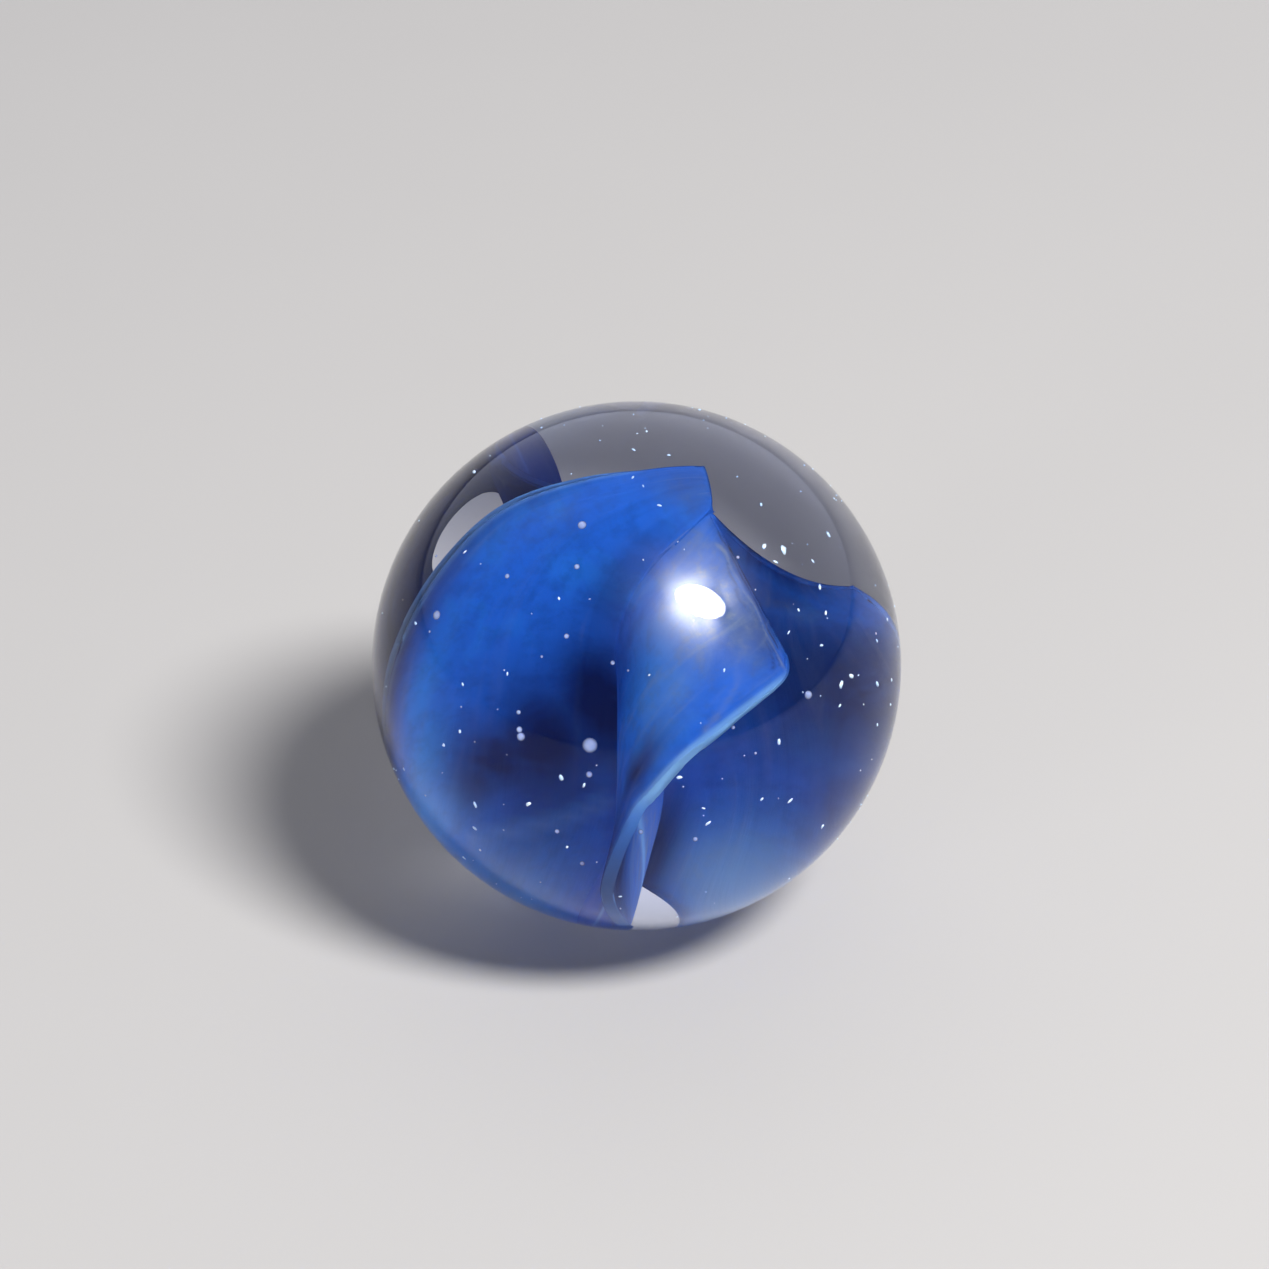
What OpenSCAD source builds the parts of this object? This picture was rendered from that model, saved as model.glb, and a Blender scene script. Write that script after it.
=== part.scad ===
// Glass marble of the cat's eye kind: a clear ball with four blue vanes sealed inside it.
// The vanes are one body of blue glass that fans out from a bent core line. They are built
// about the z axis and then leaned over, as the ball came to rest. The origin is the ball's centre.
// Each vane is a sheet of ribs from the core line to a long edge. The long edge runs just inside
// the ball's surface through a row of places, each given by an angle down and a turn.

/* [Ball] */
// Outside diameter of the clear ball
ball_d = 16; // [14:0.1:25]
// Clear glass beyond the core line at its upper end
cap_top = 0.85; // [0.6:0.05:1.5]

/* [Core line] */
// Sideways bow of the core line at mid length, along x and y
core_bow = [0.5, -0.6]; // [-1:0.05:1]
// Sideways S-bend of the core line, along x and y
core_bend = [-1.5, -4.1]; // [-5:0.1:5]
// Lean of the core line away from upright
core_lean = 24; // [0:0.5:90]
// Compass direction of the core line's lean
core_heading = -35; // [-180:1:180]

/* [Vane glass] */
// Thickness of a vane near its long edge
edge_t = 0.36; // [0.2:0.02:0.6]
// Thickness of a vane at the core line
root_t = 0.6; // [0.3:0.02:1]
// Share of its thickness that a vane keeps at its head, where it thins out
head_share = 0.35; // [0.2:0.05:1]

/* [Left vane] */
// Angles down from the head of the core line to places on the long edge, from foot to head
left_down = [160, 131, 107, 86, 67, 51, 33, 20, 11]; // [0:1:180]
// Turns about the core line at the same places
left_turns = [252, 240, 235, 229, 222, 214, 208, 197, 152]; // [-180:1:360]
// Sideways bulge between the core line and the long edge, at the foot, middle and head
left_curl = [-0.05, 0.05, -0.05]; // [-3:0.05:3]
// Clear glass outside the long edge
left_skin = 0.6; // [0.3:0.05:1.2]
// Clear glass below the foot of the core line
left_foot = 1.3; // [0.5:0.05:5]

/* [Front vane] */
// Angles down from the head of the core line to places on the long edge, from foot to head
front_down = [118, 100, 77, 69, 59, 50, 45, 41, 37]; // [0:1:180]
// Turns about the core line at the same places
front_turns = [-45, -56, -58, -56, -51, -42, -33, -23, -21]; // [-180:1:360]
// Sideways bulge between the core line and the long edge, at the foot, middle and head
front_curl = [0.15, -0.1, -0.1]; // [-3:0.05:3]
// Clear glass outside the long edge
front_skin = 0.4; // [0.3:0.05:1.2]
// Clear glass below the foot of the core line
front_foot = 2.35; // [0.5:0.05:5]

/* [Right vane] */
// Angles down from the head of the core line to places on the long edge, from foot to head
right_down = [134, 112, 90, 60, 48, 36]; // [0:1:180]
// Turns about the core line at the same places
right_turns = [42, 45, 46, 38, 34, 28]; // [-180:1:360]
// Sideways bulge between the core line and the long edge, at the foot, middle and head
right_curl = [0, 0.1, -0.9]; // [-3:0.05:3]
// Clear glass outside the long edge
right_skin = 0.45; // [0.3:0.05:1.2]
// Clear glass below the foot of the core line
right_foot = 3.3; // [0.5:0.05:5]

/* [Back vane] */
// Angles down from the head of the core line to places on the long edge, from foot to head
back_down = [148, 128, 108, 93, 86, 80]; // [0:1:180]
// Turns about the core line at the same places
back_turns = [154, 122, 137, 147, 154, 160]; // [-180:1:360]
// Sideways bulge between the core line and the long edge, at the foot, middle and head
back_curl = [0, 0.2, 2.6]; // [-3:0.05:3]
// Clear glass outside the long edge
back_skin = 0.5; // [0.3:0.05:1.2]
// Clear glass below the foot of the core line
back_foot = 2.6; // [0.5:0.05:5]

/* [Hidden] */
clear_colour = [0.80, 0.84, 0.92, 0.35];
blue_colour = [0.10, 0.26, 0.72];
ball_r = ball_d / 2;
core_top = ball_r - cap_top;
core_span = 0.94 * ball_r;
stations = 24;
section_points = 20;
edge_roundness = 0.3;
look_aside = 1 / (4 * stations);
head_fade = 8;
root_overlap = root_t / 8;
// Each vane's heights, turns, curl, skin and foot
VANES = [
    [left_down, left_turns, left_curl, left_skin, left_foot],
    [front_down, front_turns, front_curl, front_skin, front_foot],
    [right_down, right_turns, right_curl, right_skin, right_foot],
    [back_down, back_turns, back_curl, back_skin, back_foot]
];

function down(v) = v[0];
function turns(v) = v[1];
function curl(v) = v[2];
function reach(v) = ball_r - v[3];
function foot_z(v) = v[4] - ball_r;

function unit(p) = p / norm(p);

// Direction a down from the z axis, turned by b about it
function spot(a, b) = [sin(a) * cos(b), sin(a) * sin(b), cos(a)];

// Point at k on a smooth curve through the points p, which are one unit of k apart
function through(p, k) =
    let (i = min(floor(k), len(p) - 2))
    let (s = k - i)
    let (a = p[max(0, i - 1)])
    let (b = p[i])
    let (c = p[i + 1])
    let (d = p[min(len(p) - 1, i + 2)])
    b + ((c - a) + ((2 * a - 5 * b + 4 * c - d) + (3 * b - a - 3 * c + d) * s) * s) * s / 2;

// Point at q on a smooth curve from the first to the last of a list of values, which pull it along
function blend(values, q) =
    len(values) == 1
        ? values[0]
        : blend([for (i = [1 : len(values) - 1]) values[i - 1] * (1 - q) + values[i] * q], q);

// Point of the long edge of vane v at u, which runs from 0 at the foot to 1 at the head
function edge_point(v, u) =
    let (places = [for (i = [0 : len(down(v)) - 1]) spot(down(v)[i], turns(v)[i])])
    reach(v) * unit(through(places, u * (len(places) - 1)));

// Share of the long edge's rise that lies below u
function climb(v, u) =
    let (low = edge_point(v, 0).z)
    let (high = edge_point(v, 1).z)
    (edge_point(v, u).z - low) / (high - low);

// Point of the core line at a share of the way from the vane's foot to the head
function core_point(v, share) =
    let (z = foot_z(v) + (core_top - foot_z(v)) * share)
    let (x = z / core_span)
    let (off = (1 - x * x) * (core_bow + x * core_bend))
    [off.x, off.y, z];

// Point on the middle sheet of vane v: t runs from 0 at the core line to 1 at the long edge
function sheet_point(v, u, t) =
    let (share = climb(v, u))
    let (core = core_point(v, share))
    let (rib = edge_point(v, u) - core)
    let (side = unit([-rib.y, rib.x, 0]))
    core + rib * t + side * blend(curl(v), share) * 4 * t * (1 - t);

// Direction square to the middle sheet of vane v
function sheet_normal(v, u, t) =
    let (ahead = sheet_point(v, min(1, u + look_aside), t))
    let (behind = sheet_point(v, max(0, u - look_aside), t))
    let (outer = sheet_point(v, u, min(1, t + look_aside)))
    let (inner = sheet_point(v, u, max(0, t - look_aside)))
    unit(cross(ahead - behind, outer - inner));

// Half the thickness of a vane
function half_t(u, t) =
    (root_t + (edge_t - root_t) * max(0, t)) / 2 * (1 - (1 - head_share) * pow(u, head_fade));

// One closed section of vane v, a flat oval that starts just behind the core line
function vane_section(v, u) =
    let (root = root_overlap / norm(sheet_point(v, u, 1) - sheet_point(v, u, 0)))
    [
        for (i = [0 : section_points - 1])
            let (a = 360 * i / section_points)
            let (t = -root + (1 + root) * (1 - cos(a)) / 2)
            let (w = half_t(u, t) * sign(sin(a)) * pow(abs(sin(a)), edge_roundness))
            sheet_point(v, u, t) + sheet_normal(v, u, max(0, t)) * w
    ];

// Faces that close one end of a loft: a strip between the two sides of a flat ring of n points
function end_faces(n) = [
    for (i = [0 : n / 2 - 1])
        each [
            if (i > 0) [i, n - i, i + 1],
            if (i < n / 2 - 1) [i + 1, (n - i) % n, n - i - 1]
        ]
];

// Skin over a stack of closed rings that all have n points
module loft(rings) {
    n = len(rings[0]);
    last = len(rings) - 1;
    points = [for (ring = rings) each ring];
    sides = [
        for (j = [0 : last - 1], i = [0 : n - 1])
            let (i2 = (i + 1) % n)
            each [
                [j * n + i, j * n + i2, (j + 1) * n + i2],
                [j * n + i, (j + 1) * n + i2, (j + 1) * n + i]
            ]
    ];
    lower = end_faces(n);
    upper = [for (f = lower) [f[2] + last * n, f[1] + last * n, f[0] + last * n]];
    polyhedron(points, concat(sides, lower, upper), convexity = 6);
}

module vane(v) {
    loft([for (j = [0 : stations]) vane_section(v, j / stations)]);
}

module vane_bundle() {
    rotate([0, core_lean, core_heading])
        for (v = VANES) vane(v);
}

module clear_glass() {
    color(clear_colour)
        difference() {
            sphere(d = ball_d, $fn = 64);
            vane_bundle();
        }
}

module blue_vanes() {
    color(blue_colour)
        vane_bundle();
}

clear_glass();
blue_vanes();
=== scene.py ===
import math
import random

import bmesh
import bpy
from bpy.props import (
    FloatProperty,
    FloatVectorProperty,
    IntProperty,
    PointerProperty,
)
from mathutils import Matrix, Quaternion, Vector, noise


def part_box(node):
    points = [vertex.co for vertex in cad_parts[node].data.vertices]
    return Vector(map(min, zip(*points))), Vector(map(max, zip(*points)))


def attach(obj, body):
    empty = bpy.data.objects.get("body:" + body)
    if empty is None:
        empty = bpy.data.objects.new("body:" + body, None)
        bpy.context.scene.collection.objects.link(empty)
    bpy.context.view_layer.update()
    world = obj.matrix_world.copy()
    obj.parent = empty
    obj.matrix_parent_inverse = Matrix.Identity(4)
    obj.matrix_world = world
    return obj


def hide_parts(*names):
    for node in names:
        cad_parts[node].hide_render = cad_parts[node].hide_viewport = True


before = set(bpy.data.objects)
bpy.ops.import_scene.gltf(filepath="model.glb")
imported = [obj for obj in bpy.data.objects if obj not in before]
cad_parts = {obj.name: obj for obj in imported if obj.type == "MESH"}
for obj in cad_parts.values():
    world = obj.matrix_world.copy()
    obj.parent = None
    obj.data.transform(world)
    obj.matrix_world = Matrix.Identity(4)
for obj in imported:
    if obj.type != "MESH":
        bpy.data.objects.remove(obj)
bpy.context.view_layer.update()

bl_info = {
    "name": "Glass Marble",
    "version": (1, 0, 0),
    "blender": (4, 5, 0),
    "location": "3D View > Sidebar > Marble",
    "description": "Builds a clear glass marble with blue vanes, its bubbles and dust, and a plain stage",
    "category": "Object",
}

MM = 0.001
# Seed of the scattered bubbles; the dust takes the next one
SEED = 7

# A place on a vane is given by along, from 0 at its foot to 1 at its head, and across, from 0 at
# the core line to 1 at the long edge. A pair is a stretch over which something changes, unless its
# comment says otherwise.
NAMES = ("left", "front", "right", "back")
# The tone and rim maps carry painted shade and painted light beside the glass's own tone
UV_MAPS = ("sheet", "tone", "rim")
# Half length of the core line's curve, as a share of the ball's radius
CORE_SPAN = 0.94
# Step along and across that gives the direction of a sheet
LOOK_ASIDE = 0.01
# Power of along by which a vane thins out towards its head
HEAD_FADE = 8
# Cells across and along each face of a vane, and the rounding of its rim
FACE_CELLS = (52, 96)
RIM_ROUND = 0.045 * MM
RIM_SEGMENTS = 3
# Waves in a metre of the wander of the vanes' faces, and the move of the pattern between vanes
WANDER_WAVES = 420.0
WANDER_MOVE = 7.3
# Waves over a vane in the waver of its strokes, and how far they waver
STROKE_WAVES = 9.0
STROKE_WAVER = 0.035
# What a step across counts for beside a step along, in the width of a stroke
ACROSS_SHARE = 0.5
# Where the deep blue, much of it painted shade, fades in beside the core line
DEEP_START = (0.0, 0.06)
# The front vane's crease: where along it comes in and goes out, a place that it passes through, how
# far it moves inwards with a step along, and its reach inwards and outwards
CREASE_IN = (0.45, 0.58)
CREASE_OUT = (0.82, 0.95)
CREASE_PLACE = (0.55, 0.96)
CREASE_SLOPE = 1.1
CREASE_REACH = (0.05, 0.12)
# The pale long edge, painted light along the lit edge: the stretch across that it takes up, its share at
# the foot, and the stretches along where it grows and where it goes out
EDGE_BAND = (0.95, 1.0)
EDGE_AT_FOOT = 0.15
EDGE_GROWS = (0.20, 0.40)
EDGE_GOES = (0.80, 0.93)

# Scattered bubbles: height as a share of the ball's radius, and diameter and depth in millimetres
BUBBLE_HEIGHTS = (0.1, 0.9)
BUBBLE_SIZES = (0.04, 0.12)
BUBBLE_DEPTHS = (0.2, 0.5)
# Scattered dust: height as above, least length, most further length as a share of that, and the
# power that keeps long flecks few
DUST_HEIGHTS = (-0.75, 1.0)
FLECK_LEAST = 0.06 * MM
FLECK_MORE = 1.8
FLECK_POWER = 4
# Each fleck: thickness, width as a share of its length, and how far out its corners lie
FLECK_THICKNESS = 0.06 * MM
FLECK_WIDTHS = (0.35, 0.7)
FLECK_CORNERS = (0.65, 1.1)

# Reach of the floor from the ball each way, and the nearest distance the camera shows, in metres
FLOOR_REACH = 2.0
CLIP_START = 0.005

BALL_LOW, BALL_HIGH = (Vector(corner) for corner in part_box("clear_glass"))
BALL_RADIUS = (BALL_HIGH.z - BALL_LOW.z) / 2.0


# ---------------------------------------------------------------- settings


class BallSettings(bpy.types.PropertyGroup):
    """Sizes and colours of the clear ball."""

    radius: FloatProperty(
        name="Radius", description="Radius of the clear ball",
        default=BALL_RADIUS, unit="LENGTH", precision=5)
    fineness: IntProperty(
        name="Fineness", description="Times the starting twenty-sided ball is subdivided",
        default=7, min=4, max=7)
    tint: FloatVectorProperty(
        name="Tint", description="Colour of the light that the clear glass lets through",
        default=(0.97, 0.98, 1.0), subtype="COLOR", min=0.0, max=1.0)
    smudge: FloatVectorProperty(
        name="Smudge", description="Middle of the worn, hazy place on the ball's face",
        default=tuple(BALL_RADIUS * part for part in (0.21, -0.65, 0.73)), size=3, unit="LENGTH")
    gloss: FloatVectorProperty(
        name="Gloss", description="Strength of the reflections from the ball's face, by colour",
        default=(0.42, 0.42, 0.46), subtype="COLOR", min=0.0, max=1.0)
    depth_tint: FloatVectorProperty(
        name="Depth tint", description="Colour that deep clear glass takes on",
        default=(0.62, 0.66, 0.90), subtype="COLOR", min=0.0, max=1.0)
    depth: FloatProperty(
        name="Absorption", description="How strongly deep glass takes on its tint, per metre",
        default=35.0, min=0.0)
    index: FloatProperty(
        name="Index", description="Refractive index of soda-lime glass",
        default=1.52, min=1.0, max=2.0)


class VaneSettings(bpy.types.PropertyGroup):
    """Sizes, places and colours of the four blue vanes.

    A long edge runs through waypoints from its foot to its head. Each waypoint is an angle down
    from the core line's head and a turn about the core line, both in degrees."""

    cap_top: FloatProperty(
        name="Upper cap", description="Clear glass beyond the core line's upper end",
        default=0.85 * MM, unit="LENGTH", precision=5)
    bow: FloatVectorProperty(
        name="Core bow", description="Sideways bow of the core line at mid length",
        default=(0.5 * MM, -0.6 * MM), size=2, unit="LENGTH", precision=5)
    bend: FloatVectorProperty(
        name="Core bend", description="Sideways S-bend of the core line",
        default=(-1.5 * MM, -4.1 * MM), size=2, unit="LENGTH", precision=5)
    lean: FloatProperty(
        name="Lean", description="Lean of the core line away from upright",
        default=math.radians(24.0), subtype="ANGLE")
    heading: FloatProperty(
        name="Heading", description="Direction in which the core line leans",
        default=math.radians(-35.0), subtype="ANGLE")
    edge: FloatProperty(
        name="Edge thickness", description="Thickness of a vane near its long edge",
        default=0.36 * MM, unit="LENGTH", precision=5)
    root: FloatProperty(
        name="Root thickness", description="Thickness of a vane at the core line",
        default=0.6 * MM, unit="LENGTH", precision=5)
    left_down: FloatVectorProperty(
        name="Left edge heights", description="Angles down from the head, from foot to head",
        default=(160.0, 131.0, 107.0, 86.0, 67.0, 51.0, 33.0, 20.0, 11.0), size=9)
    left_turns: FloatVectorProperty(
        name="Left edge turns", description="Turns about the core line, from foot to head",
        default=(252.0, 240.0, 235.0, 229.0, 222.0, 214.0, 208.0, 197.0, 152.0), size=9)
    left_curl: FloatVectorProperty(
        name="Left curl", description="Sideways bulge between core line and edge, from foot to head",
        default=(-0.05 * MM, 0.05 * MM, -0.05 * MM), size=3, unit="LENGTH", precision=5)
    front_down: FloatVectorProperty(
        name="Front edge heights", description="Angles down from the head, from foot to head",
        default=(118.0, 100.0, 77.0, 69.0, 59.0, 50.0, 45.0, 41.0, 37.0), size=9)
    front_turns: FloatVectorProperty(
        name="Front edge turns", description="Turns about the core line, from foot to head",
        default=(-45.0, -56.0, -58.0, -56.0, -51.0, -42.0, -33.0, -23.0, -21.0), size=9)
    front_curl: FloatVectorProperty(
        name="Front curl", description="Sideways bulge between core line and edge, from foot to head",
        default=(0.15 * MM, -0.1 * MM, -0.1 * MM), size=3, unit="LENGTH", precision=5)
    right_down: FloatVectorProperty(
        name="Right edge heights", description="Angles down from the head, from foot to head",
        default=(134.0, 112.0, 90.0, 60.0, 48.0, 36.0), size=6)
    right_turns: FloatVectorProperty(
        name="Right edge turns", description="Turns about the core line, from foot to head",
        default=(42.0, 45.0, 46.0, 38.0, 34.0, 28.0), size=6)
    right_curl: FloatVectorProperty(
        name="Right curl", description="Sideways bulge between core line and edge, from foot to head",
        default=(0.0 * MM, 0.1 * MM, -0.9 * MM), size=3, unit="LENGTH", precision=5)
    back_down: FloatVectorProperty(
        name="Back edge heights", description="Angles down from the head, from foot to head",
        default=(148.0, 128.0, 108.0, 93.0, 86.0, 80.0), size=6)
    back_turns: FloatVectorProperty(
        name="Back edge turns", description="Turns about the core line, from foot to head",
        default=(154.0, 122.0, 137.0, 147.0, 154.0, 160.0), size=6)
    back_curl: FloatVectorProperty(
        name="Back curl", description="Sideways bulge between core line and edge, from foot to head",
        default=(0.0 * MM, 0.2 * MM, 2.6 * MM), size=3, unit="LENGTH", precision=5)
    skin: FloatVectorProperty(
        name="Skin", description="Clear glass outside each vane's long edge: left, front, right, back",
        default=(0.6 * MM, 0.4 * MM, 0.45 * MM, 0.5 * MM), size=4, unit="LENGTH", precision=5)
    foot: FloatVectorProperty(
        name="Foot", description="Clear glass below each vane's foot: left, front, right, back",
        default=(1.3 * MM, 2.35 * MM, 3.3 * MM, 2.6 * MM), size=4, unit="LENGTH", precision=5)
    head_share: FloatProperty(
        name="Head share", description="Share of its thickness that a vane keeps at its head",
        default=0.35, min=0.1, max=1.0)
    wander: FloatProperty(
        name="Wander", description="How far a vane's faces wander from a smooth sheet",
        default=0.05 * MM, unit="LENGTH", precision=5)
    fold: FloatProperty(
        name="Fold", description="How far the front vane's outer strip bends back along its crease",
        default=0.12 * MM, unit="LENGTH", precision=5)
    blue: FloatVectorProperty(
        name="Blue", description="Main colour of the vanes",
        default=(0.022, 0.170, 0.80), subtype="COLOR", min=0.0, max=1.0)
    # Bright blue is also painted light on the vanes' feet
    bright: FloatVectorProperty(
        name="Bright blue", description="Colour of the vanes where their glass is thinnest",
        default=(0.03, 0.34, 1.0), subtype="COLOR", min=0.0, max=1.0)
    # Deep blue is partly the glass's own darker tone and partly painted shade: the front vane's shadow on
    # the left vane, and shade on the right and back vanes
    deep: FloatVectorProperty(
        name="Deep blue", description="Colour of the vanes where their glass is densest",
        default=(0.004, 0.022, 0.15), subtype="COLOR", min=0.0, max=1.0)
    # Milky blue is cloudy glass, and also a painted glow round the highlight and painted light at the right
    # vane's foot
    milky_and_glow: FloatVectorProperty(
        name="Milky blue", description="Colour of the cloudy streaks",
        default=(0.31, 0.38, 0.47), subtype="COLOR", min=0.0, max=1.0)
    # Pale blue is painted light: along the lit long edges, and at the vanes' feet
    pale: FloatVectorProperty(
        name="Pale blue", description="Colour of the long edges",
        default=(0.26, 0.55, 0.96), subtype="COLOR", min=0.0, max=1.0)


class StageSettings(bpy.types.PropertyGroup):
    """Camera, lamps and floor."""

    elevation: FloatProperty(
        name="Camera height", description="Angle of the camera above the horizon",
        default=math.radians(35.0), subtype="ANGLE")
    distance: FloatProperty(
        name="Camera distance", description="From the ball's centre to the camera",
        default=0.140, unit="LENGTH")
    ball_width: FloatProperty(
        name="Ball width", description="Width of the ball as a share of the picture's width",
        default=0.4175, min=0.05, max=1.0)
    ball_right: FloatProperty(
        name="Ball right of centre", description="Share of the picture's width", default=0.0015)
    ball_down: FloatProperty(
        name="Ball below centre", description="Share of the picture's width", default=0.0248)
    floor: FloatVectorProperty(
        name="Floor", description="Colour of the floor and backdrop",
        default=(0.47, 0.455, 0.44), subtype="COLOR", min=0.0, max=1.0)
    lamp_power: FloatProperty(
        name="Lamp power", description="Power of the main soft lamp, in watts", default=2.4, min=0.0)
    lamp_size: FloatVectorProperty(
        name="Lamp size", description="Width and height of each soft lamp",
        default=(0.150, 0.090), size=2, unit="LENGTH")
    lamp_way: FloatVectorProperty(
        name="Lamp direction", description="Direction from the ball to the main lamp",
        default=(0.44, -0.38, 0.81), size=3, subtype="DIRECTION")
    lamp_distance: FloatProperty(
        name="Lamp distance", description="From the ball's centre to each lamp",
        default=0.40, unit="LENGTH")
    lamp_roll: FloatProperty(
        name="Lamp roll", description="Turn of each lamp about the line to the ball",
        default=math.radians(126.0), subtype="ANGLE")
    fill_power: FloatProperty(
        name="Fill power", description="Power of the weak low lamp, in watts", default=0.40, min=0.0)
    fill_way: FloatVectorProperty(
        name="Fill direction", description="Direction from the ball to the weak low lamp",
        default=(-0.66, -0.73, 0.14), size=3, subtype="DIRECTION")
    room: FloatVectorProperty(
        name="Room", description="Colour of the even light from all round",
        default=(0.72, 0.74, 0.84), subtype="COLOR", min=0.0, max=1.0)
    back_strength: FloatProperty(
        name="Back strength", description="Further even light from behind the ball", default=0.60, min=0.0)
    low_strength: FloatProperty(
        name="Low strength", description="Strength of the even light near the floor", default=0.42, min=0.0)
    room_strength: FloatProperty(
        name="Room strength", description="Strength of the even light from above", default=0.24, min=0.0)


class SpeckSettings(bpy.types.PropertyGroup):
    """Bubbles in the clear glass and dust on it."""

    bubble: FloatVectorProperty(
        name="Bubble", description="Colour of the bubbles",
        default=(0.56, 0.68, 1.0), subtype="COLOR", min=0.0, max=1.0)
    dust: FloatVectorProperty(
        name="Dust", description="Colour of the dust",
        default=(0.74, 0.88, 1.0), subtype="COLOR", min=0.0, max=1.0)
    bubble_mottle: FloatVectorProperty(
        name="Bubble mottle", description="Second colour of the bubbles, in small patches",
        default=(0.72, 0.78, 0.96), subtype="COLOR", min=0.0, max=1.0)
    dust_mottle: FloatVectorProperty(
        name="Dust mottle", description="Second colour of the dust, in small patches",
        default=(0.46, 0.66, 1.0), subtype="COLOR", min=0.0, max=1.0)
    more_bubbles: IntProperty(
        name="More bubbles", description="Small bubbles scattered in the upper clear glass",
        default=26, min=0, max=80)
    more_dust: IntProperty(
        name="More dust", description="Flecks scattered over the ball beside the placed ones",
        default=150, min=0, max=300)


# Soft patches on the vanes: vane, kind, along, across, their spreads, and strength. Many deep patches are
# painted shade; bright and pale patches at the feet and the cloud round the front vane's highlight are
# painted light.
# Along runs from 0 at a vane's foot to 1 at its head, across from the core line to the long edge.
PATCHES = (
    # Cloudy glass, partly a painted glow round the highlight
    ("front", "cloud", 0.76, 0.40, 0.18, 0.34, 0.75),
    ("front", "deep", 0.99, 0.55, 0.05, 0.50, 0.80),
    ("front", "cloud", 0.90, 0.50, 0.08, 0.35, 0.50),
    ("front", "cloud", 0.52, 0.62, 0.16, 0.22, 0.22),
    ("front", "cloud", 0.10, 0.30, 0.08, 0.25, 0.40),
    # Painted shade in a strip just inside the front vane's long edge
    ("front", "deep", 0.34, 0.80, 0.12, 0.10, 0.90),
    ("front", "deep", 0.30, 0.20, 0.16, 0.25, 0.50),
    ("front", "deep", 0.14, 0.85, 0.09, 0.30, 0.90),
    ("front", "deep", 0.86, 0.66, 0.12, 0.26, 0.65),
    ("front", "bright", 0.45, 0.50, 0.15, 0.25, 0.50),
    # The cloud, pale and bright patches at the right vane's foot are painted light and a painted glint
    ("right", "cloud", 0.06, 0.31, 0.05, 0.12, 0.75),
    ("right", "pale", 0.07, 0.36, 0.07, 0.16, 1.0),
    ("right", "deep", 0.05, 0.07, 0.14, 0.10, 1.0),
    ("right", "bright", 0.06, 0.38, 0.09, 0.25, 1.0),
    ("right", "cloud", 0.72, 0.40, 0.10, 0.30, 0.12),
    # Painted shade on the right vane's face
    ("right", "deep", 0.45, 0.60, 0.24, 0.60, 0.85),
    ("right", "deep", 0.22, 0.66, 0.10, 0.22, 0.80),
    ("right", "deep", 0.80, 0.30, 0.20, 0.40, 0.60),
    ("right", "deep", 1.00, 0.50, 0.16, 0.80, 0.85),
    # Painted shadow of the front vane on the left vane
    ("left", "deep", 0.35, 0.12, 0.13, 0.18, 1.0),
    ("left", "deep", 0.27, 0.30, 0.10, 0.20, 1.0),
    ("left", "deep", 0.24, 0.42, 0.06, 0.20, 1.0),
    ("left", "deep", 0.21, 0.47, 0.045, 0.12, 0.95),
    # Painted shade beside the core line, between the left and front vanes
    ("left", "deep", 0.60, 0.12, 0.18, 0.14, 0.50),
    ("left", "deep", 0.94, 0.55, 0.10, 0.60, 0.45),
    # Painted shade along the left vane's long edge
    ("left", "deep", 0.30, 1.00, 0.34, 0.12, 1.0),
    # Painted light on the left vane's lower part
    ("left", "bright", 0.09, 0.30, 0.06, 0.50, 1.0),
    ("left", "pale", 0.09, 0.25, 0.05, 0.30, 0.45),
    ("left", "pale", 0.16, 0.62, 0.05, 0.14, 0.25),
    ("left", "bright", 0.15, 0.66, 0.06, 0.20, 1.0),
    ("left", "bright", 0.22, 0.68, 0.07, 0.10, 1.0),
    ("left", "bright", 0.30, 0.76, 0.10, 0.08, 0.60),
    ("left", "cloud", 0.92, 0.50, 0.10, 0.50, 0.12),
    ("left", "cloud", 0.68, 0.72, 0.12, 0.18, 0.08),
    # Painted shade over the whole back vane
    ("back", "deep", 0.50, 0.50, 3.00, 3.00, 1.0),
)
# Drawn-out wisps and folds: vane, kind, half width, strength, and the places they pass through
STROKES = (
    ("left", "pale", 0.011, 0.32, ((0.145, 0.45), (0.161, 0.30), (0.177, 0.18), (0.196, 0.11))),
    ("front", "cloud", 0.014, 0.32, ((0.56, 0.95), (0.68, 0.865), (0.785, 0.716), (0.86, 0.60))),
    ("front", "cloud", 0.016, 0.60, ((0.94, 0.20), (0.95, 0.45), (0.94, 0.70), (0.90, 0.95))),
    ("front", "deep", 0.012, 0.90, ((0.99, 0.15), (0.985, 0.50), (0.97, 0.90))),
    ("front", "deep", 0.014, 0.70, ((0.89, 0.45), (0.88, 0.70), (0.84, 0.90))),
    ("front", "deep", 0.012, 0.60, ((0.93, 0.30), (0.90, 0.50), (0.91, 0.75), (0.88, 0.92))),
    ("front", "pale", 0.012, 0.75, ((0.02, 0.28), (0.08, 0.30), (0.13, 0.36), (0.19, 0.50))),
)
# How strongly each vane's long edge shows pale, which is painted light along the lit edge
RIMS = {"left": 0.30, "front": 1.0, "right": 0.10, "back": 0.0}
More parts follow.
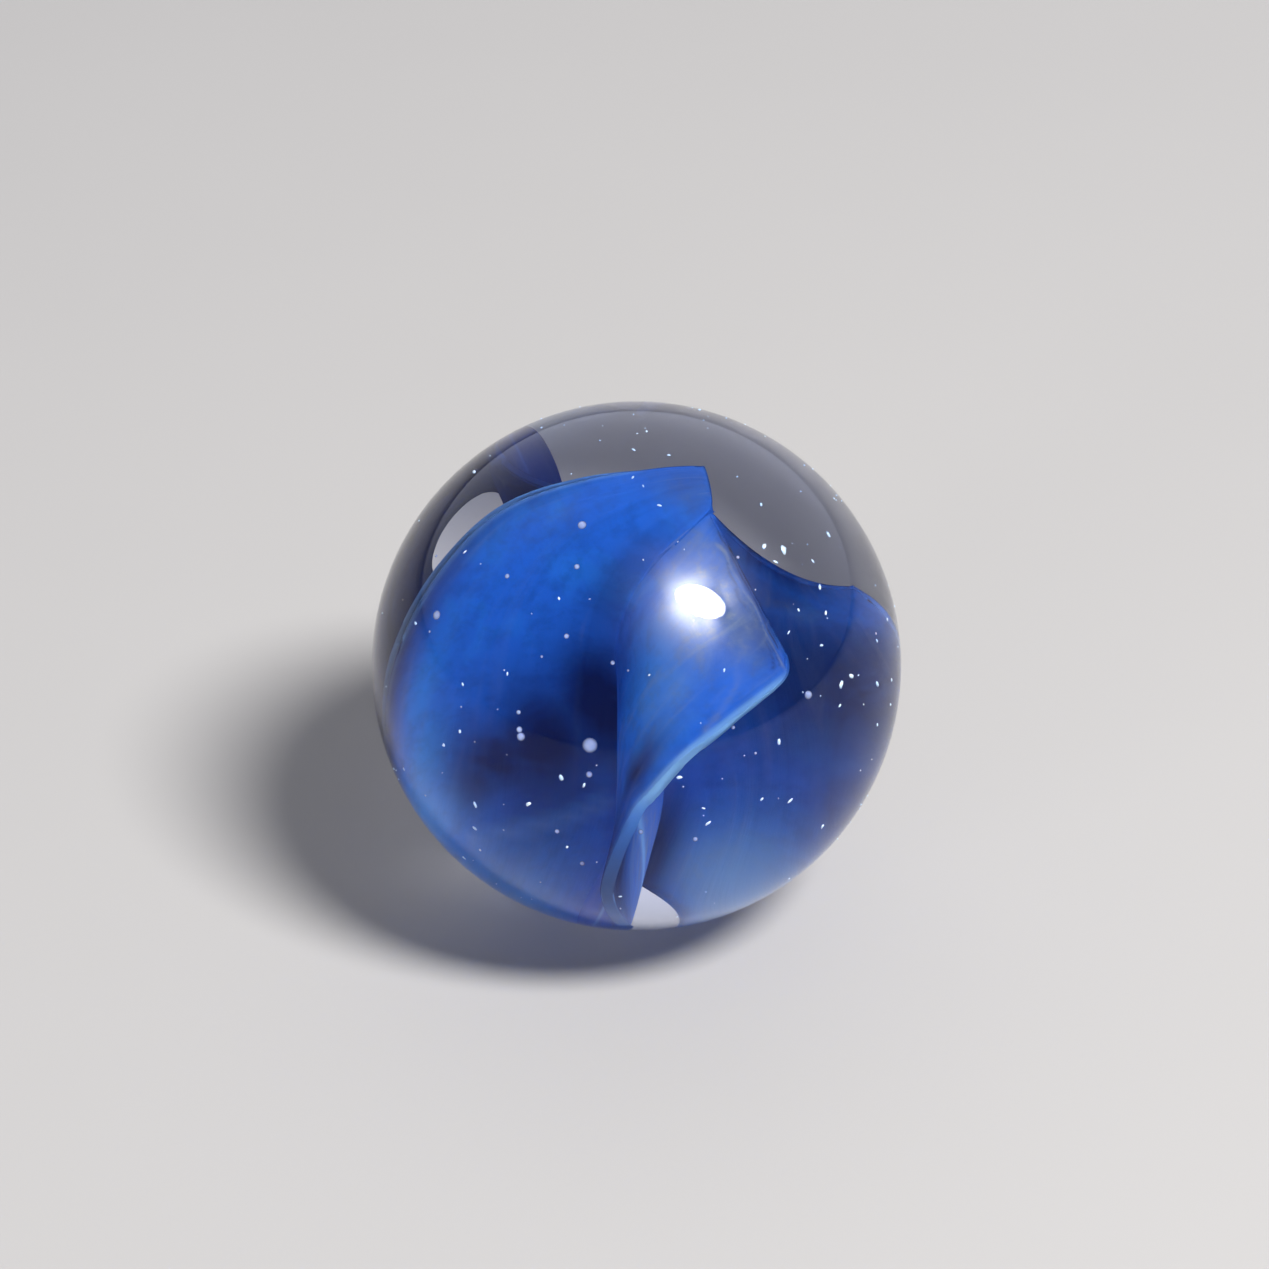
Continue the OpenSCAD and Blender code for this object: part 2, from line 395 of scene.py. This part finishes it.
# Bubbles that are placed: x, y and z of the centre and the diameter, in millimetres
BUBBLES = (
    (-1.1, -3.7, 0.3, 0.42), (-5.5, -2.7, 3.6, 0.30), (-2.8, -3.7, 0.5, 0.24),
    (-2.85, -3.7, 0.7, 0.18), (-1.5, -2.5, 6.5, 0.29), (-1.6, -3.2, 5.5, 0.18),
    (-2.9, -3.7, 1.2, 0.13), (-3.5, -2.9, 5.0, 0.16), (-1.8, -3.8, 3.6, 0.16),
    (-1.1, -3.7, -0.5, 0.18), (-0.6, -4.0, 2.9, 0.13), (4.2, -2.8, 1.1, 0.24),
    (2.3, -3.4, 0.6, 0.11), (0.1, -3.3, -2.2, 0.13), (-1.8, -3.4, -2.2, 0.13),
    (-1.2, -3.2, -3.1, 0.13), (1.3, -3.1, -2.5, 0.13),
)
# Dust that is placed: angle down from the top, turn about the z axis, and length in millimetres
DUST = (
    (3, -102, 0.21), (8, -32, 0.18), (5, 65, 0.15), (38, 168, 0.33), (20, -76, 0.18),
    (44, -154, 0.18), (43, -114, 0.15), (63, -155, 0.18), (61, -122, 0.15), (67, -133, 0.15),
    (82, -135, 0.15), (77, -131, 0.15), (80, -106, 0.24), (81, -101, 0.21), (88, -113, 0.24),
    (93, -126, 0.27), (100, -127, 0.21), (107, -127, 0.18), (115, -135, 0.21), (30, -25, 0.18),
    (46, -12, 0.27), (46, -27, 0.18), (37, -40, 0.27), (40, -34, 0.36), (41, -40, 0.24),
    (51, -31, 0.24), (52, -42, 0.15), (56, -34, 0.18), (61, -40, 0.18), (55, -48, 0.15),
    (71, -38, 0.33), (71, -34, 0.27), (78, -25, 0.27), (82, -17, 0.15), (87, -19, 0.15),
    (75, -40, 0.15), (87, -27, 0.18), (76, -58, 0.24), (91, -56, 0.24), (88, -63, 0.15),
    (79, -81, 0.24), (87, -76, 0.18), (91, -75, 0.27), (104, -45, 0.24), (71, -10, 0.15),
)


# ---------------------------------------------------------------- node helpers


class Wire:
    """A socket that ordinary arithmetic turns into Math nodes."""

    def __init__(self, finish, socket):
        self.finish = finish
        self.socket = socket

    def maths(self, operation, first, second):
        return self.finish.add("ShaderNodeMath", {"operation": operation}, (first, second))

    def __add__(self, other):
        return self.maths("ADD", self, other)

    __radd__ = __add__

    def __mul__(self, other):
        return self.maths("MULTIPLY", self, other)

    __rmul__ = __mul__

    def __sub__(self, other):
        return self.maths("SUBTRACT", self, other)

    def __rsub__(self, other):
        return self.maths("SUBTRACT", other, self)

    def clamp(self):
        """The same, held between 0 and 1."""
        return self.finish.add("ShaderNodeClamp", values=(self,))

    def step(self, low, high):
        """0 at low and 1 at high, smoothly between, where low may be the larger."""
        settings = {"interpolation_type": "SMOOTHSTEP"}
        return self.finish.add("ShaderNodeMapRange", settings, (self, low, high))


class Finish:
    """The nodes of a new material or world, filled in by calls to add()."""

    def __init__(self, owner):
        self.owner = owner
        owner.use_nodes = True
        owner.node_tree.nodes.clear()

    def add(self, kind, settings=None, values=(), out=None, **named):
        """Add a node and give one output: its settings are set first, then sockets by order or name."""
        node = self.owner.node_tree.nodes.new(kind)
        for key, value in (settings or {}).items():
            setattr(node, key, value)
        sockets = [socket for socket in node.inputs if socket.enabled]
        names = {socket.name.lower().replace(" ", "_"): socket for socket in sockets}
        for value, socket in zip(values, sockets):
            self.join(value, socket)
        for name, value in named.items():
            self.join(value, names[name])
        outputs = [socket for socket in node.outputs if socket.enabled and out in (None, socket.name)]
        return Wire(self, outputs[0]) if outputs else None

    def join(self, value, socket):
        """Link a wire to a socket, or set the socket to a plain value."""
        if isinstance(value, Wire):
            self.owner.node_tree.links.new(value.socket, socket)
        elif socket.type == "RGBA":
            socket.default_value = (*value, 1.0)
        else:
            socket.default_value = value

    def mix(self, share, first, second):
        """Mix two colours."""
        return self.add("ShaderNodeMix", {"data_type": "RGBA"}, (share, first, second))

    def blend_shaders(self, share, first, second):
        """Mix two shaders."""
        return self.add("ShaderNodeMixShader", values=(share, first, second))

    def distance(self, vector, point):
        """How far a place is from a fixed point."""
        return self.add("ShaderNodeVectorMath", {"operation": "DISTANCE"}, (vector, point))

    def split(self, vector):
        """The three parts of a vector."""
        part = self.add("ShaderNodeSeparateXYZ", values=(vector,))
        return [Wire(self, socket) for socket in part.socket.node.outputs]

    def output(self, **shaders):
        """Add the output node and give the finished material or world."""
        world = isinstance(self.owner, bpy.types.World)
        self.add("ShaderNodeOutputWorld" if world else "ShaderNodeOutputMaterial", **shaders)
        return self.owner


# ---------------------------------------------------------------- finishes


def clear_glass_finish(ball):
    """Fire-polished clear glass with a faint blue depth, a slow ripple and a worn, hazy skin."""
    finish = Finish(bpy.data.materials.new("clear_glass"))
    place = finish.add("ShaderNodeTexCoord", out="Object")
    ripple = finish.add("ShaderNodeTexNoise", vector=place, scale=170.0, detail=2.0)
    pits = finish.add("ShaderNodeTexVoronoi", {"feature": "DISTANCE_TO_EDGE"}, vector=place, scale=1500.0)
    smear = finish.add("ShaderNodeTexNoise", vector=place, scale=320.0, detail=4.0, roughness=0.6)
    smudge = finish.distance(place, ball.smudge).step(3.6 * MM, 0.4 * MM) * smear.step(0.30, 0.62)
    height = ripple + pits.step(0.05, 0.0) * smear.step(0.6, 0.8) * 0.2
    bump = finish.add("ShaderNodeBump", height=height, strength=0.03, distance=0.2 * MM)
    haze = (smudge * 0.95 + smear.step(0.55, 0.8) * 0.12).clamp()
    glass = finish.add(
        "ShaderNodeBsdfPrincipled", base_color=ball.tint, roughness=0.0, ior=ball.index,
        transmission_weight=1.0, specular_tint=ball.gloss, coat_weight=haze, coat_roughness=0.28,
        coat_ior=1.7, normal=bump)
    depth = finish.add("ShaderNodeVolumeAbsorption", color=ball.depth_tint, density=ball.depth)
    return finish.output(surface=glass, volume=depth)


def vane_finish(vanes):
    """Cloudy blue glass: streaks drawn out along the vane, paler where the glass is cloudy, with painted
    light and shade in places.

    The sheet map holds across plus twice the vane's number, and along. The tone map holds how cloudy and
    how deep the colour is; the cloud is partly a painted glow round the front vane's highlight and painted
    light at the right vane's foot, and the deep blue is partly painted shade. The rim map holds how pale
    the long edge is, which is painted light along the lit edge, and how bright the blue, which at the
    vanes' feet is painted light."""
    finish = Finish(bpy.data.materials.new("blue_glass"))
    sheet = finish.add("ShaderNodeUVMap", {"uv_map": "sheet"})
    tone = finish.split(finish.add("ShaderNodeUVMap", {"uv_map": "tone"}))
    rim = finish.split(finish.add("ShaderNodeUVMap", {"uv_map": "rim"}))
    place = finish.add("ShaderNodeTexCoord", out="Object")
    drawn = finish.add("ShaderNodeMapping", vector=sheet, scale=(3.2, 0.8, 1.0))
    streaks = finish.add(
        "ShaderNodeTexNoise", vector=drawn, scale=2.0, detail=4.0, roughness=0.5, distortion=1.6)
    cloud = finish.add(
        "ShaderNodeTexNoise", vector=place, scale=420.0, detail=5.0, roughness=0.6, distortion=0.6)
    fine = finish.add("ShaderNodeTexNoise", vector=place, scale=1900.0, detail=4.0, roughness=0.65)
    wisps = streaks.step(0.50, 0.80) * (0.10 + tone[0] * 0.35)
    # The veil follows the cloud patches: cloudy glass, and a painted glow round the highlight and painted
    # light at the right vane's foot
    veil = tone[0] * (0.40 + cloud.step(0.30, 0.65) * 0.60 + fine.step(0.45, 0.70) * 0.45)
    milky_and_glow = (veil + wisps).clamp()
    # Deep blue from the tone map, much of it painted shade, with faint darker streaks
    deep = (tone[1] * (0.75 + cloud.step(0.20, 0.60) * 0.35) + streaks.step(0.50, 0.25) * 0.10).clamp()
    # Bright blue from the rim map: painted light at the vanes' feet
    colour = finish.mix(rim[1], vanes.blue, vanes.bright)
    colour = finish.mix(cloud.step(0.45, 0.72) * 0.30, colour, vanes.bright)
    colour = finish.mix(fine.step(0.40, 0.70) * 0.20, colour, vanes.deep)
    colour = finish.mix(deep, colour, vanes.deep)
    colour = finish.mix(milky_and_glow, colour, vanes.milky_and_glow)
    # Pale long edge and pale patches: painted light
    colour = finish.mix((rim[0] * (0.70 + cloud * 0.5)).clamp(), colour, vanes.pale)
    grain = finish.add(
        "ShaderNodeBump", height=streaks * 0.5 + cloud * 0.35 + fine * 0.15, strength=0.2,
        distance=0.3 * MM)
    glass = finish.add(
        "ShaderNodeBsdfPrincipled", base_color=colour, roughness=0.45, specular_ior_level=0.0,
        normal=grain)
    return finish.output(surface=glass)


def bubble_finish(specks):
    """Pale bubbles that thin out in the middle, so the blue behind shows a little."""
    finish = Finish(bpy.data.materials.new("bubble"))
    place = finish.add("ShaderNodeTexCoord", out="Object")
    facing = finish.add("ShaderNodeLayerWeight", out="Facing", blend=0.5)
    mottle = finish.add("ShaderNodeTexNoise", vector=place, scale=9000.0, detail=2.0)
    colour = finish.mix(mottle.step(0.3, 0.7) * 0.5, specks.bubble, specks.bubble_mottle)
    skin = finish.add("ShaderNodeBsdfPrincipled", base_color=colour, roughness=0.3)
    clear = finish.add("ShaderNodeBsdfTransparent")
    return finish.output(surface=finish.blend_shaders(facing.step(0.75, 0.0) * 0.95, clear, skin))


def dust_finish(specks):
    """Pale, uneven flecks."""
    finish = Finish(bpy.data.materials.new("dust"))
    place = finish.add("ShaderNodeTexCoord", out="Object")
    mottle = finish.add("ShaderNodeTexNoise", vector=place, scale=7000.0, detail=3.0)
    colour = finish.mix(mottle.step(0.35, 0.65), specks.dust, specks.dust_mottle)
    bump = finish.add("ShaderNodeBump", height=mottle, strength=0.5, distance=0.03 * MM)
    skin = finish.add("ShaderNodeBsdfPrincipled", base_color=colour, roughness=0.7, normal=bump)
    return finish.output(surface=skin)


def floor_finish(stage):
    """A plain matt floor with a very faint grain."""
    finish = Finish(bpy.data.materials.new("floor"))
    place = finish.add("ShaderNodeTexCoord", out="Object")
    grain = finish.add("ShaderNodeTexNoise", vector=place, scale=60.0, detail=4.0)
    darker = tuple(part * 0.96 for part in stage.floor)
    shade = finish.mix(grain.step(0.3, 0.7) * 0.25, stage.floor, darker)
    matt = finish.add("ShaderNodeBsdfPrincipled", base_color=shade, roughness=0.7)
    return finish.output(surface=matt)


def room_finish(stage):
    """Even light that is strongest low down and behind the ball."""
    finish = Finish(bpy.data.worlds.new("room"))
    way = finish.split(finish.add("ShaderNodeTexCoord", out="Generated"))
    rise = way[2].step(0.0, 0.6)
    strength = (1.0 - rise) * stage.low_strength + rise * stage.room_strength
    strength = strength + way[1].step(0.0, 1.0) * stage.back_strength
    light = finish.add("ShaderNodeBackground", color=stage.room, strength=strength)
    return finish.output(surface=light)


# ---------------------------------------------------------------- shapes


def new_object(name, mesh, material):
    """Put a bmesh into a new object at the origin, with one material."""
    data = bpy.data.meshes.new(name)
    mesh.to_mesh(data)
    mesh.free()
    data.materials.append(material)
    made = bpy.data.objects.new(name, data)
    bpy.context.scene.collection.objects.link(made)
    return made


def finish_piece(name, mesh, material, nodes):
    """Make a smooth piece of the marble, hang it on the root body, and hide the model parts it stands for.
    """
    piece = new_object(name, mesh, material)
    for face in piece.data.polygons:
        face.use_smooth = True
    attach(piece, "root")
    if nodes:
        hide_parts(*nodes)
    return piece


def blend(values, share):
    """Point on a smooth curve from the first to the last of the values, which pull it along."""
    values = list(values)
    while len(values) > 1:
        values = [a * (1.0 - share) + b * share for a, b in zip(values, values[1:])]
    return values[0]


def through(places, along):
    """Point on a smooth curve through the places, which are one unit of along apart."""
    first = min(int(along), len(places) - 2)
    s = along - first
    a = places[max(0, first - 1)]
    b = places[first]
    c = places[first + 1]
    d = places[min(len(places) - 1, first + 2)]
    return b + ((c - a) + ((2 * a - 5 * b + 4 * c - d) + (3 * b - a - 3 * c + d) * s) * s) * s / 2


def spot(down, turn):
    """Direction down from the z axis and turned about it, both in degrees."""
    down = math.radians(down)
    turn = math.radians(turn)
    return Vector((math.sin(down) * math.cos(turn), math.sin(down) * math.sin(turn), math.cos(down)))


class VaneShape:
    """The middle sheet of one vane: ribs from the bent core line to the long edge."""

    def __init__(self, vanes, ball, index):
        name = NAMES[index]
        self.places = [
            spot(down, turn) for down, turn in zip(
                getattr(vanes, name + "_down"), getattr(vanes, name + "_turns"))]
        self.curl = list(getattr(vanes, name + "_curl"))
        self.reach = ball.radius - vanes.skin[index]
        self.head = ball.radius - vanes.cap_top
        self.foot = vanes.foot[index] - ball.radius
        self.span = CORE_SPAN * ball.radius
        self.root = vanes.root
        self.head_share = vanes.head_share
        self.edge = vanes.edge
        self.bow = Vector(vanes.bow)
        self.bend = Vector(vanes.bend)
        self.pose = Matrix.Rotation(vanes.heading, 3, "Z") @ Matrix.Rotation(vanes.lean, 3, "Y")
        self.low = self.edge_point(0.0).z
        self.high = self.edge_point(1.0).z

    def edge_point(self, along):
        """Place on the long edge, from 0 at the foot to 1 at the head."""
        return through(self.places, along * (len(self.places) - 1)).normalized() * self.reach

    def core_point(self, share):
        """Place on the core line, at a share of the way from the vane's foot to the head."""
        z = self.foot + (self.head - self.foot) * share
        x = z / self.span
        off = (self.bow + self.bend * x) * (1.0 - x * x)
        return Vector((off.x, off.y, z))

    def point(self, along, across):
        """Place on the sheet: across runs from 0 at the core line to 1 at the long edge."""
        edge = self.edge_point(along)
        share = (edge.z - self.low) / (self.high - self.low)
        core = self.core_point(share)
        rib = edge - core
        side = Vector((-rib.y, rib.x, 0.0)).normalized()
        bulge = blend(self.curl, share) * 4.0 * across * (1.0 - across)
        return self.pose @ (core + rib * across + side * bulge)

    def normal(self, along, across):
        """Direction square to the sheet."""
        ahead = self.point(min(1.0, along + LOOK_ASIDE), across)
        behind = self.point(max(0.0, along - LOOK_ASIDE), across)
        outer = self.point(along, min(1.0, across + LOOK_ASIDE))
        inner = self.point(along, max(0.0, across - LOOK_ASIDE))
        return (ahead - behind).cross(outer - inner).normalized()

    def half_thickness(self, along, across):
        """Half the vane's thickness at one place."""
        full = self.root + (self.edge - self.root) * across
        return full / 2.0 * (1.0 - (1.0 - self.head_share) * along ** HEAD_FADE)


def soft(distance):
    """1 at no distance, fading smoothly to 0."""
    return math.exp(-distance * distance)


def smooth(value, low, high):
    """0 below low and 1 above high, smoothly between."""
    share = min(1.0, max(0.0, (value - low) / (high - low)))
    return share * share * (3.0 - 2.0 * share)


def line_distance(along, across, places):
    """Distance on the sheet from one place to a row of short lines."""
    here = Vector((along, across * ACROSS_SHARE))
    best = math.inf
    for first, second in zip(places, places[1:]):
        start = Vector((first[0], first[1] * ACROSS_SHARE))
        way = Vector((second[0], second[1] * ACROSS_SHARE)) - start
        share = min(1.0, max(0.0, (here - start).dot(way) / way.length_squared))
        best = min(best, (here - start - way * share).length)
    return best


def tone_of(name, along, across):
    """How cloudy, deep, bright and pale in colour a vane is at one place; some deep blue is painted shade,
    and some bright, pale and cloudy colour is painted light.
    """
    tone = {"cloud": 0.0, "deep": 0.0, "bright": 0.0, "pale": 0.0}
    for vane, kind, mid_along, mid_across, spread_along, spread_across, strength in PATCHES:
        if vane == name:
            near = soft((along - mid_along) / spread_along) * soft((across - mid_across) / spread_across)
            tone[kind] = max(tone[kind], near * strength)
    waver = noise.noise(Vector((along * STROKE_WAVES, across * STROKE_WAVES, 0.0))) * STROKE_WAVER
    for vane, kind, width, strength, places in STROKES:
        if vane == name:
            shift = 0.0 if kind == "pale" else waver
            near = soft(line_distance(along + shift, across + shift, places) / width)
            tone[kind] = max(tone[kind], near * strength)
    tone["deep"] *= smooth(across, *DEEP_START)
    return tone


def edge_paleness(name, along, across):
    """How pale a vane's long edge is at one place: painted light along the lit edge."""
    grown = EDGE_AT_FOOT + (1.0 - EDGE_AT_FOOT) * smooth(along, *EDGE_GROWS)
    ends = grown * (1.0 - smooth(along, *EDGE_GOES))
    return RIMS[name] * smooth(across, *EDGE_BAND) * ends


def crease(along, across):
    """Share of the front vane's fold that is taken up at one place."""
    line = CREASE_PLACE[1] - CREASE_SLOPE * (along - CREASE_PLACE[0])
    window = smooth(along, *CREASE_IN) * (1.0 - smooth(along, *CREASE_OUT))
    return smooth(across, line - CREASE_REACH[0], line + CREASE_REACH[1]) * window


def paint_vane(mesh, places, index):
    """Fill one vane's part of the maps that the blue glass reads, painted light and shade among them."""
    name = NAMES[index]
    sheet, tone, rim = (mesh.loops.layers.uv[layer] for layer in UV_MAPS)
    looks = {vert: tone_of(name, *place) for vert, place in places.items()}
    for face in {face for vert in places for face in vert.link_faces}:
        for loop in face.loops:
            along, across = places[loop.vert]
            look = looks[loop.vert]
            loop[sheet].uv = (across + 2.0 * index, along)
            loop[tone].uv = (look["cloud"], look["deep"])
            loop[rim].uv = (max(edge_paleness(name, along, across), look["pale"]), look["bright"])


def vane_mesh(mesh, shape, vanes, index):
    """Add one vane: a grid bent to each of its faces, bridged and rounded round its edges."""
    columns, rows = FACE_CELLS
    front = bmesh.ops.create_grid(mesh, x_segments=columns, y_segments=rows, size=1.0)["verts"]
    faces = list(dict.fromkeys(face for vert in front for face in vert.link_faces))
    edges = list(dict.fromkeys(edge for vert in front for edge in vert.link_edges))
    copy = bmesh.ops.duplicate(mesh, geom=front + edges + faces)["geom"]
    back = [item for item in copy if isinstance(item, bmesh.types.BMVert)]
    bmesh.ops.reverse_faces(mesh, faces=[f for f in copy if isinstance(f, bmesh.types.BMFace)])
    places = {vert: ((vert.co.y + 1.0) / 2.0, (vert.co.x + 1.0) / 2.0) for vert in front + back}
    borders = (edge for vert in places for edge in vert.link_edges if edge.is_boundary)
    rims = list(dict.fromkeys(borders))
    bmesh.ops.bridge_loops(mesh, edges=rims)
    paint_vane(mesh, places, index)
    move = Vector((index * WANDER_MOVE, 0.0, 0.0))
    for side, verts in ((1.0, front), (-1.0, back)):
        for vert in verts:
            along, across = places[vert]
            point = shape.point(along, across)
            drift = noise.noise(point * WANDER_WAVES + move) * vanes.wander
            if NAMES[index] == "front":
                drift += crease(along, across) * vanes.fold
            out = side * shape.half_thickness(along, across) + drift
            vert.co = point + shape.normal(along, across) * out
    bmesh.ops.bevel(
        mesh, geom=rims, affect="EDGES", offset=RIM_ROUND, segments=RIM_SEGMENTS, profile=0.5,
        material=-1)


# ---------------------------------------------------------------- operators


class MARBLE_OT_clear_ball(bpy.types.Operator):
    """Make the clear ball."""

    bl_idname = "marble.clear_ball"
    bl_label = "Clear ball"

    def execute(self, context):
        ball = context.scene.marble_ball
        mesh = bmesh.new()
        bmesh.ops.create_icosphere(mesh, subdivisions=ball.fineness, radius=ball.radius)
        finish_piece("clear_ball", mesh, clear_glass_finish(ball), ["clear_glass"])
        return {"FINISHED"}


class MARBLE_OT_vanes(bpy.types.Operator):
    """Make the four blue vanes."""

    bl_idname = "marble.vanes"
    bl_label = "Blue vanes"

    def execute(self, context):
        ball = context.scene.marble_ball
        vanes = context.scene.marble_vanes
        mesh = bmesh.new()
        for layer in UV_MAPS:
            mesh.loops.layers.uv.new(layer)
        for index in range(len(NAMES)):
            vane_mesh(mesh, VaneShape(vanes, ball, index), vanes, index)
        bmesh.ops.recalc_face_normals(mesh, faces=mesh.faces)
        finish_piece("vanes", mesh, vane_finish(vanes), ["blue_vanes"])
        return {"FINISHED"}


class MARBLE_OT_bubbles(bpy.types.Operator):
    """Make the bubbles in the clear glass."""

    bl_idname = "marble.bubbles"
    bl_label = "Bubbles"

    def execute(self, context):
        specks = context.scene.marble_specks
        ball = context.scene.marble_ball
        mesh = bmesh.new()
        for x, y, z, size in BUBBLES:
            self.bubble(mesh, Vector((x, y, z)) * MM, size * MM)
        chance = random.Random(SEED)
        for _ in range(specks.more_bubbles):
            turn = chance.uniform(-math.pi, math.pi)
            height = chance.uniform(*BUBBLE_HEIGHTS)
            flat = math.sqrt(1.0 - height * height)
            way = Vector((flat * math.cos(turn), flat * math.sin(turn), height))
            size = chance.uniform(*BUBBLE_SIZES) * MM
            self.bubble(mesh, way * (ball.radius - chance.uniform(*BUBBLE_DEPTHS) * MM), size)
        finish_piece("bubbles", mesh, bubble_finish(specks), [])
        return {"FINISHED"}

    def bubble(self, mesh, centre, size):
        """Add one round bubble."""
        made = bmesh.ops.create_icosphere(mesh, subdivisions=2, radius=size / 2.0)["verts"]
        bmesh.ops.translate(mesh, verts=made, vec=centre)


class MARBLE_OT_dust(bpy.types.Operator):
    """Make the flecks of dust on the ball."""

    bl_idname = "marble.dust"
    bl_label = "Dust"

    def execute(self, context):
        specks = context.scene.marble_specks
        ball = context.scene.marble_ball
        mesh = bmesh.new()
        chance = random.Random(SEED + 1)
        for down, turn, size in DUST:
            self.fleck(mesh, chance, ball, spot(down, turn), size * MM)
        for _ in range(specks.more_dust):
            height = chance.uniform(*DUST_HEIGHTS)
            turn = chance.uniform(-180.0, 180.0)
            size = FLECK_LEAST * (1.0 + FLECK_MORE * chance.random() ** FLECK_POWER)
            self.fleck(mesh, chance, ball, spot(math.degrees(math.acos(height)), turn), size)
        finish_piece("dust", mesh, dust_finish(specks), [])
        return {"FINISHED"}

    def fleck(self, mesh, chance, ball, way, length):
        """Add one flat, uneven fleck that lies on the ball."""
        made = bmesh.ops.create_icosphere(mesh, subdivisions=1, radius=0.5)["verts"]
        for vert in made:
            vert.co *= chance.uniform(*FLECK_CORNERS)
        width = length * chance.uniform(*FLECK_WIDTHS)
        bmesh.ops.scale(mesh, verts=made, vec=(length, width, FLECK_THICKNESS))
        lie = way.to_track_quat("Z", "Y") @ Quaternion((0.0, 0.0, 1.0), chance.uniform(0.0, math.pi))
        bmesh.ops.rotate(mesh, verts=made, cent=(0.0, 0.0, 0.0), matrix=lie.to_matrix())
        bmesh.ops.translate(mesh, verts=made, vec=way * ball.radius)


class MARBLE_OT_stage(bpy.types.Operator):
    """Make the floor, the lamps and the camera."""

    bl_idname = "marble.stage"
    bl_label = "Stage"

    def execute(self, context):
        stage = context.scene.marble_stage
        ball = context.scene.marble_ball
        self.floor(stage, ball)
        self.lamps(context, stage)
        self.camera(context, stage, ball)
        return {"FINISHED"}

    def floor(self, stage, ball):
        """Make a level floor that the ball touches."""
        mesh = bmesh.new()
        bmesh.ops.create_grid(mesh, x_segments=2, y_segments=2, size=FLOOR_REACH)
        bmesh.ops.translate(mesh, verts=mesh.verts, vec=(0.0, 0.0, -ball.radius))
        new_object("floor", mesh, floor_finish(stage))

    def lamps(self, context, stage):
        """Make the main lamp, a weak low one that isn't reflected, and the room's even light."""
        self.lamp(context, stage, "key", stage.lamp_way, stage.lamp_power)
        fill = self.lamp(context, stage, "fill", stage.fill_way, stage.fill_power)
        fill.visible_glossy = False
        context.scene.world = room_finish(stage)

    def lamp(self, context, stage, name, way, power):
        """Make one soft lamp that faces the ball."""
        toward = Vector(way).normalized()
        data = bpy.data.lights.new(name, "AREA")
        data.shape = "ELLIPSE"
        data.size, data.size_y = stage.lamp_size
        data.energy = power
        lamp = bpy.data.objects.new(name, data)
        lamp.location = toward * stage.lamp_distance
        turn = toward.to_track_quat("Z", "Y") @ Quaternion((0.0, 0.0, 1.0), stage.lamp_roll)
        lamp.rotation_euler = turn.to_euler()
        context.scene.collection.objects.link(lamp)
        return lamp

    def camera(self, context, stage, ball):
        """Make the camera, with a lens that gives the ball its width in the picture."""
        data = bpy.data.cameras.new("camera")
        camera = bpy.data.objects.new("camera", data)
        context.scene.collection.objects.link(camera)
        away = Vector((0.0, -math.cos(stage.elevation), math.sin(stage.elevation)))
        camera.location = away * stage.distance
        camera.rotation_euler = away.to_track_quat("Z", "Y").to_euler()
        half = math.asin(ball.radius / stage.distance)
        data.sensor_fit = "HORIZONTAL"
        data.lens = data.sensor_width / 2.0 / (math.tan(half) / stage.ball_width)
        data.shift_x = -stage.ball_right
        data.shift_y = stage.ball_down
        data.clip_start = CLIP_START
        context.scene.camera = camera
        context.scene.view_settings.view_transform = "Standard"


class MARBLE_PT_panel(bpy.types.Panel):
    """Lists the marble's operators."""

    bl_idname = "MARBLE_PT_panel"
    bl_label = "Glass Marble"
    bl_space_type = "VIEW_3D"
    bl_region_type = "UI"
    bl_category = "Marble"

    def draw(self, context):
        for operator in OPERATORS:
            self.layout.operator(operator.bl_idname)


SETTINGS = (BallSettings, VaneSettings, SpeckSettings, StageSettings)
OPERATORS = (
    MARBLE_OT_clear_ball, MARBLE_OT_vanes, MARBLE_OT_bubbles, MARBLE_OT_dust, MARBLE_OT_stage)
CLASSES = SETTINGS + OPERATORS + (MARBLE_PT_panel,)


def register():
    for item in CLASSES:
        bpy.utils.register_class(item)
    bpy.types.Scene.marble_ball = PointerProperty(type=BallSettings)
    bpy.types.Scene.marble_vanes = PointerProperty(type=VaneSettings)
    bpy.types.Scene.marble_specks = PointerProperty(type=SpeckSettings)
    bpy.types.Scene.marble_stage = PointerProperty(type=StageSettings)


def unregister():
    del bpy.types.Scene.marble_stage
    del bpy.types.Scene.marble_specks
    del bpy.types.Scene.marble_vanes
    del bpy.types.Scene.marble_ball
    for item in reversed(CLASSES):
        bpy.utils.unregister_class(item)


def main():
    register()
    bpy.ops.marble.clear_ball()
    bpy.ops.marble.vanes()
    bpy.ops.marble.bubbles()
    bpy.ops.marble.dust()
    bpy.ops.marble.stage()


if __name__ == "__main__":
    main()
